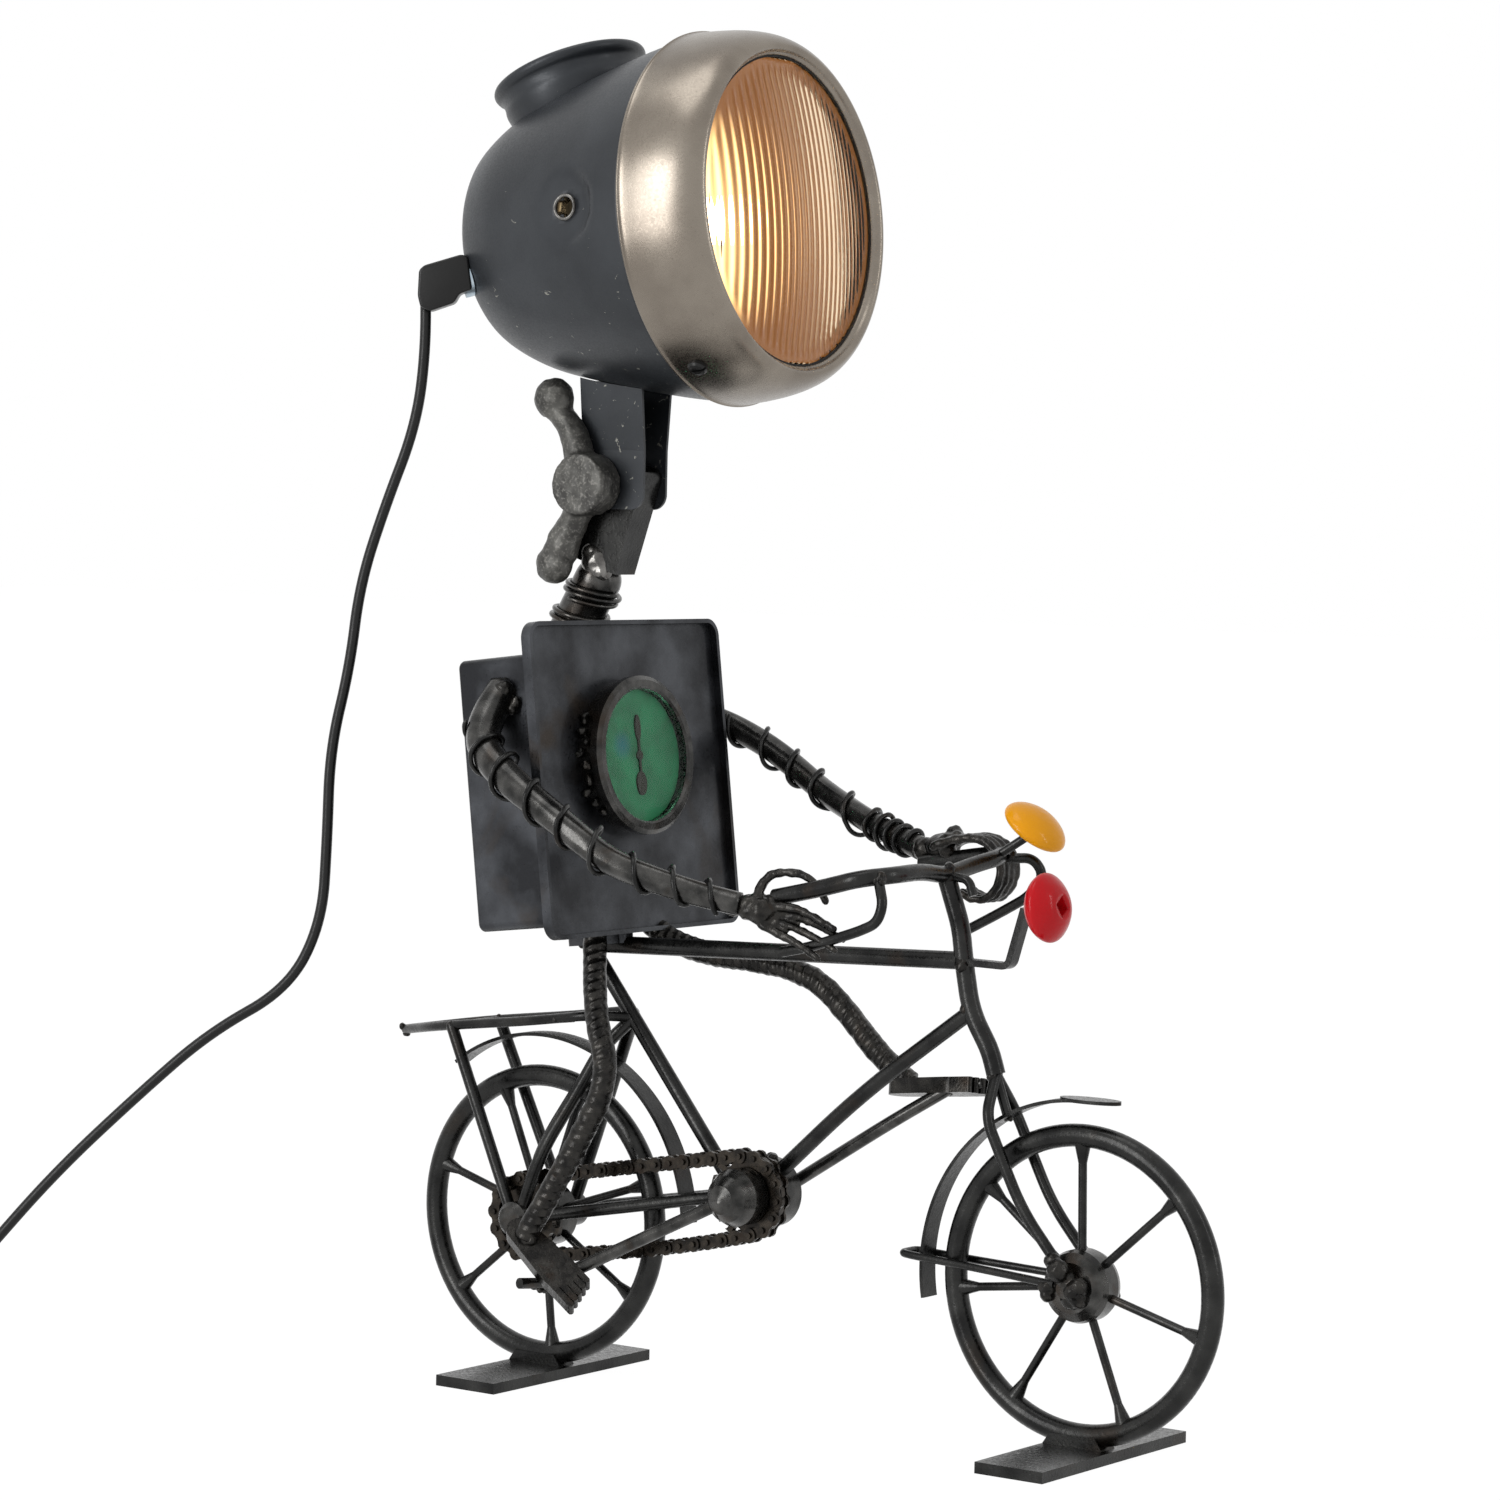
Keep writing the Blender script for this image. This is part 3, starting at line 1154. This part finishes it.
def build_chain():
    """The roller chain: waisted plates in pairs, inner and outer by turns, on rollers and riveted pins."""
    along = Vector((math.cos(CHAIN_TILT), 0, math.sin(CHAIN_TILT)))
    across = Vector((-math.sin(CHAIN_TILT), 0, math.cos(CHAIN_TILT)))
    outwards = Vector((0, -1, 0))
    middle = rear(0, -CHAIN_SIDE, 0)
    pins = [middle + x * along + y * across for x, y in chain_pins()]
    bm = bmesh.new()
    for i, pin in enumerate(pins):
        following = pins[(i + 1) % len(pins)]
        link_along = (following - pin).normalized()
        link_across = outwards.cross(link_along)
        stand = INNER_HALF + (i % 2) * PLATE_THICKNESS
        for level in (stand, -stand - PLATE_THICKNESS):
            link_plate(bm, level, axes((pin + following) / 2, link_along, link_across, outwards))
        seat = axes(pin, link_along, link_across, outwards)
        for radius, half in ((ROLLER_RADIUS, INNER_HALF), (PIN_RADIUS, PIN_HALF)):
            bmesh.ops.create_cone(
                bm, cap_ends=True, segments=14, radius1=radius, radius2=radius, depth=2 * half, matrix=seat
            )
    face_outwards(bm)
    piece("roller_chain", bm, "chain_steel", "stand", "chain_steel", "chain", smooth=False)


# ---- weld beads: a place, a radius and how many blobs
WELDS = [
    (front(-75, 0, 172.6), 5.6, 7),
    (front(-64.7, 0, 135.9), 6.2, 8),
    (front(-60.4, 0, 113.9), 5.2, 6),
    (front(-46.6, 0, 87.3), 5.4, 7),
    (front(-40, 0, 70), 3.4, 4),
    (rear(24, 0, 128.7), 6.4, 8),
    (crank(4, 0, 15), 5.0, 6),
    (crank(-14, 0, 2), 5.0, 6),
    (front(-76.4, -50, 172.5), 3.9, 5),
    (front(-73, 47, 178.5), 4.2, 5),
    (front(-74, 38, 179), 4.0, 6),
    (torso(-27, -SHOULDER_SIDE - 1, 43), 7.8, 12),
    (torso(-20, -SHOULDER_SIDE - 0.5, 36), 5.5, 8),
    (torso(-31, SHOULDER_SIDE + 1, 32), 6.6, 9),
    (torso(-28, -5, -66), 6.6, 8),
    (torso(-16, 8, -67), 6.0, 8),
    (rear(38, -14, 97.6), 3.6, 4),
    (rear(38, 14, 97.6), 3.6, 4),
    (rear(-86, 0, 79.7), 3.6, 5),
    (RIGHT_ANKLE + Vector((2, 0, -2)), 5.4, 7),
    (LEFT_ANKLE + Vector((-2, 0, 2)), 5.2, 6),
    (crank(-99, -38, -49.4), 4.2, 5),
    (crank(83, 24, 52.5), 4.0, 5),
]
for side in (-1, 1):
    WELDS += [
        (rear(0, side * 20, 0), 6.2, 7),
        (front(-3, side * 12, 7), 9.0, 9),
        (front(4, side * 11, -3), 8.6, 8),
        (front(-11, side * 10, -2), 6.0, 6),
        (rear(-43, side * 18, 86.5), 3.6, 4),
        (rear(20, side * 18, 94), 3.0, 3),
    ]
SPATTER_CIRCLE = 37
SPATTER_RADIUS = 1.9


def build_welds():
    """Weld beads at the joints of the frame, the limbs and the handlebar."""
    bm = bmesh.new()
    for seed, (place, radius, count) in enumerate(WELDS, 1):
        bead(bm, place, 0.62 * radius, seed, count, 0.75)
    for i in range(9):
        # A broken row of spatter where the gauge was tacked to the panel.
        angle = math.radians(150 + 9 * i)
        left, up = SPATTER_CIRCLE * math.cos(angle), SPATTER_CIRCLE * math.sin(angle)
        bead(bm, torso(-1.6 + 1.2 * (i % 3), -2 + left, 9 + up), SPATTER_RADIUS, 40 + i, 4, 0.9)
    place_at(bm)
    skin = roughened(melted(bm, 0.7, 2), 0.45, 2.2, 7)
    piece("weld_beads", skin, "weld_metal", "stand", "dark_steel")


# ---- bell and front lamp
BELL_OUTLINE = (
    (2.6, 0), (2.2, 8), (2.4, 13.4), (3.4, 15.2), (5.2, 15.4), (7.6, 13.8), (9.9, 10.4), (11.8, 5.4),
    (12.5, 0),
)
BELL_AXIS = Vector((0.62, 0, 0.785)).normalized()
KNOB_OUTLINE = (
    (-2, 0), (-1.9, 4.6), (0.6, 9.2), (3.4, 13.0), (6.2, 15.0), (8.4, 14.9), (11.2, 12.4), (13.8, 8.8),
    (14.9, 5.8),
)
SOCKET_OUTLINE = [(14.8, 4.4), (13.6, 4.0), (6.0, 3.8), (6.0, 0)]
SOCKET_TURN = math.radians(32)
KNOB_TILT = math.radians(8)
KNOB_AXIS = Vector((math.cos(KNOB_TILT), 0, math.sin(KNOB_TILT)))
KNOB_STEPS = 72


def build_knobs():
    """Two enamelled knobs: the bell's mushroom cap and the front lamp's blunt cone with a square socket."""
    bell = bmesh.new()
    turned(bell, smooth_outline(BELL_OUTLINE, 5), KNOB_STEPS, axes(front(-59, 42, 189.5), BELL_AXIS, LEFT))
    piece("enamelled_bell", bell, "yellow_enamel", "stand", "yellow_enamel", "bell_cap")
    knob = bmesh.new()
    turned(knob, smooth_outline(KNOB_OUTLINE, 5) + SOCKET_OUTLINE, KNOB_STEPS, Matrix.Identity(4))
    for vertex in knob.verts:
        reach = math.hypot(vertex.co.y, vertex.co.z)
        if 0.5 < reach < 4.5 and vertex.co.x > 5.9:
            angle = math.atan2(vertex.co.z, vertex.co.y) - SOCKET_TURN
            side = max(abs(math.cos(angle)), abs(math.sin(angle)))
            vertex.co.yz = vertex.co.yz * (0.85 / side)
    place_at(knob, axes(front(-29, 0, 161), KNOB_AXIS, LEFT))
    piece("enamelled_front_lamp", knob, "red_enamel", "stand", "red_enamel", "red_lamp")


# ---- stage
CAMERA_PLACE = Vector((1363.7, -1731.0, 410.8))
CAMERA_AZIMUTH = math.radians(35.84)
CAMERA_ELEVATION = math.radians(3.04)
CAMERA_ROLL = math.radians(1.17)
FOCAL_PIXELS = 4736.0
IMAGE_PIXELS = 1500.0
# In metres and watts: each soft box's name, place, size and power.
SOFT_BOXES = (
    ("left_box", (-0.42, -2.02, 0.82), (0.7, 1.6), 24),
    ("right_box", (2.3, 0.4, 1.1), (0.2, 1.4), 6),
    ("top_box", (-0.2, -0.4, 2.4), (1.1, 1.1), 8),
)
LIT_MIDDLE = Vector((0.1, 0, 0.35))


def build_camera():
    """The camera, far off and nearly level."""
    data = bpy.data.cameras.new("camera")
    data.sensor_width = 36.0
    data.lens = FOCAL_PIXELS / IMAGE_PIXELS * data.sensor_width
    camera = bpy.data.objects.new("camera", data)
    bpy.context.scene.collection.objects.link(camera)
    flat = math.cos(CAMERA_ELEVATION)
    back = Vector(
        (math.sin(CAMERA_AZIMUTH) * flat, -math.cos(CAMERA_AZIMUTH) * flat, math.sin(CAMERA_ELEVATION))
    )
    right = UP.cross(back).normalized()
    upright = back.cross(right)
    rolled_right = math.cos(CAMERA_ROLL) * right + math.sin(CAMERA_ROLL) * upright
    rolled_up = -math.sin(CAMERA_ROLL) * right + math.cos(CAMERA_ROLL) * upright
    camera.matrix_world = Matrix.Translation(CAMERA_PLACE * MM) @ turn_to(rolled_right, rolled_up, back)
    bpy.context.scene.camera = camera


def build_soft_box(name, place, size, power):
    """A soft box that faces the lamp's middle."""
    data = bpy.data.lights.new(name, "AREA")
    data.shape = "RECTANGLE"
    data.size, data.size_y = size
    data.energy = power
    box = bpy.data.objects.new(name, data)
    bpy.context.scene.collection.objects.link(box)
    place = Vector(place)
    facing = (LIT_MIDDLE - place).to_track_quat("-Z", "Y").to_matrix().to_4x4()
    box.matrix_world = Matrix.Translation(place) @ facing


def build_world(level):
    """Even light all round, on a white background."""
    world = bpy.data.worlds.new("studio")
    bpy.context.scene.world = world
    world.use_nodes = True
    tree = world.node_tree
    tree.nodes.clear()
    shown = {"Value": seen_share(tree), "To Min": level, "To Max": 1.0}
    strength = add_node(tree, "MapRange", shown).outputs["Result"]
    light = add_node(tree, "Background", {"Color": (1, 1, 1, 1), "Strength": strength}).outputs["Background"]
    add_node(tree, "OutputWorld", {"Surface": light})


def build_floor():
    """A floor far wider than the view."""
    bm = bmesh.new()
    bmesh.ops.create_grid(bm, x_segments=1, y_segments=1, size=12)
    mesh = bpy.data.meshes.new("floor")
    bm.to_mesh(mesh)
    bm.free()
    mesh.materials.append(plain_floor())
    floor = bpy.data.objects.new("floor", mesh)
    bpy.context.scene.collection.objects.link(floor)


# ---- the add-on
class LampSizes(bpy.types.PropertyGroup):
    """Sizes that a user would change."""

    cord_diameter: bpy.props.FloatProperty(
        name="Cord Diameter", description="Outer diameter of the cord", default=5.0 * MM, unit="LENGTH"
    )
    cord_length: bpy.props.FloatProperty(
        name="Cord Length", description="Length of the cord from elbow to plug", default=1.8, unit="LENGTH"
    )
    light_level: bpy.props.FloatProperty(
        name="Light Level", description="Strength of the even light", default=0.42, subtype="FACTOR"
    )


class LampFinishes(bpy.types.PropertyGroup):
    """Colours that a user would change."""

    bell: bpy.props.FloatVectorProperty(
        name="Bell", description="Enamel of the bell", default=linear("#f0a20c")[:3], subtype="COLOR"
    )
    front_lamp: bpy.props.FloatVectorProperty(
        name="Front Lamp", description="Enamel of its knob", default=linear("#c20f19")[:3], subtype="COLOR"
    )


class DESKLAMP_OT_cord(bpy.types.Operator):
    """Lay the cord from the headlamp to its coil and plug"""

    bl_idname = "desklamp.cord"
    bl_label = "Cord"

    def execute(self, context):
        sizes = context.scene.desklamp_sizes
        build_cord(sizes.cord_diameter)
        return {"FINISHED"}


class DESKLAMP_OT_headlamp(bpy.types.Operator):
    """Make the headlamp's bowl, bezel, lens, cup and elbow, and dress what they hold"""

    bl_idname = "desklamp.headlamp"
    bl_label = "Headlamp"

    def execute(self, context):
        build_bowl()
        build_bezel()
        build_lens()
        build_cup()
        build_elbow()
        dress("black_rubber", "lens_gasket")
        dress("mirror_bowl", "reflector")
        dress("bulb_glass", "bulb")
        dress("black_plastic", "lamp_holder", "bezel_screw")
        dress("zinc", "elbow_washer")
        dress("grey_paint", "head_bracket")
        return {"FINISHED"}


class DESKLAMP_OT_arms(bpy.types.Operator):
    """Make the arms, their wire and the hands"""

    bl_idname = "desklamp.arms"
    bl_label = "Arms and Hands"

    def execute(self, context):
        build_arms()
        build_wires()
        build_hands()
        return {"FINISHED"}


class DESKLAMP_OT_legs(bpy.types.Operator):
    """Make the ribbed legs and dress the feet"""

    bl_idname = "desklamp.legs"
    bl_label = "Legs"

    def execute(self, context):
        build_legs()
        dress("weld_metal", "feet")
        return {"FINISHED"}


class DESKLAMP_OT_neck(bpy.types.Operator):
    """Make the wing nut, the neck's wire and its polished weld, and dress the neck"""

    bl_idname = "desklamp.neck"
    bl_label = "Neck"

    def execute(self, context):
        build_wing_nut()
        build_neck()
        dress("dark_steel", "neck_bracket")
        dress("ground_steel", "neck_tube")
        dress("zinc", "clamp_bolt")
        return {"FINISHED"}


class DESKLAMP_OT_torso(bpy.types.Operator):
    """Dress the torso and the gauge on its chest"""

    bl_idname = "desklamp.torso"
    bl_label = "Torso and Gauge"

    def execute(self, context):
        dress("sheet_steel", "torso_box", "chest_panel")
        dress("ground_steel", "gauge_housing")
        dress("dial_green", "gauge_dial")
        dress("needle_brown", "gauge_needle")
        dress("clear_glass", "gauge_glass")
        return {"FINISHED"}


class DESKLAMP_OT_bicycle(bpy.types.Operator):
    """Make the bicycle's weld beads, bell, front lamp and chain, and dress the rest of it"""

    bl_idname = "desklamp.bicycle"
    bl_label = "Bicycle"

    def execute(self, context):
        build_welds()
        build_knobs()
        build_chain()
        dress("dark_steel", "base_plates", "rear_rim", "front_rim", "wheel_spokes")
        dress("dark_steel", "steerer", "top_tube", "down_tube", "seat_tube", "rear_stays", "fork_blades")
        dress("dark_steel", "front_mudguard", "rear_mudguard", "mudguard_stays", "carrier_rack")
        dress("dark_steel", "handlebar", "brake_levers", "bell_stalk", "lamp_bracket")
        dress("chain_steel", "sprockets")
        dress("ground_steel", "bottom_bracket", "cranks", "wheel_hubs")
        return {"FINISHED"}


class DESKLAMP_OT_switch(bpy.types.Operator):
    """Dress the switch in the cord and the plug"""

    bl_idname = "desklamp.switch"
    bl_label = "Switch and Plug"

    def execute(self, context):
        dress("black_plastic", "switch_housing", "switch_rocker", "plug")
        return {"FINISHED"}


class DESKLAMP_OT_stage(bpy.types.Operator):
    """Set up the floor, the light and the camera"""

    bl_idname = "desklamp.stage"
    bl_label = "Stage"

    def execute(self, context):
        build_floor()
        build_world(context.scene.desklamp_sizes.light_level)
        for box in SOFT_BOXES:
            build_soft_box(*box)
        build_camera()
        context.scene.view_settings.view_transform = "Standard"
        return {"FINISHED"}


OPERATORS = (
    DESKLAMP_OT_stage,
    DESKLAMP_OT_cord,
    DESKLAMP_OT_headlamp,
    DESKLAMP_OT_neck,
    DESKLAMP_OT_torso,
    DESKLAMP_OT_arms,
    DESKLAMP_OT_legs,
    DESKLAMP_OT_bicycle,
    DESKLAMP_OT_switch,
)


class DESKLAMP_PT_panel(bpy.types.Panel):
    """Lists the lamp's sizes, colours and operators"""

    bl_label = "Desk Lamp"
    bl_idname = "DESKLAMP_PT_panel"
    bl_space_type = "VIEW_3D"
    bl_region_type = "UI"
    bl_category = "Desk Lamp"

    def draw(self, context):
        for group in (context.scene.desklamp_sizes, context.scene.desklamp_finishes):
            for name in group.__annotations__:
                self.layout.prop(group, name)
        for operator in OPERATORS:
            self.layout.operator(operator.bl_idname)


CLASSES = (LampSizes, LampFinishes, *OPERATORS, DESKLAMP_PT_panel)


def register():
    for added in CLASSES:
        bpy.utils.register_class(added)
    bpy.types.Scene.desklamp_sizes = bpy.props.PointerProperty(type=LampSizes)
    bpy.types.Scene.desklamp_finishes = bpy.props.PointerProperty(type=LampFinishes)


def unregister():
    del bpy.types.Scene.desklamp_finishes
    del bpy.types.Scene.desklamp_sizes
    for added in reversed(CLASSES):
        bpy.utils.unregister_class(added)


def main():
    """Builds the whole lamp and notes its size beside the frame's."""
    register()
    for operator in OPERATORS:
        group, name = operator.bl_idname.split(".")
        getattr(getattr(bpy.ops, group), name)()


if __name__ == "__main__":
    main()
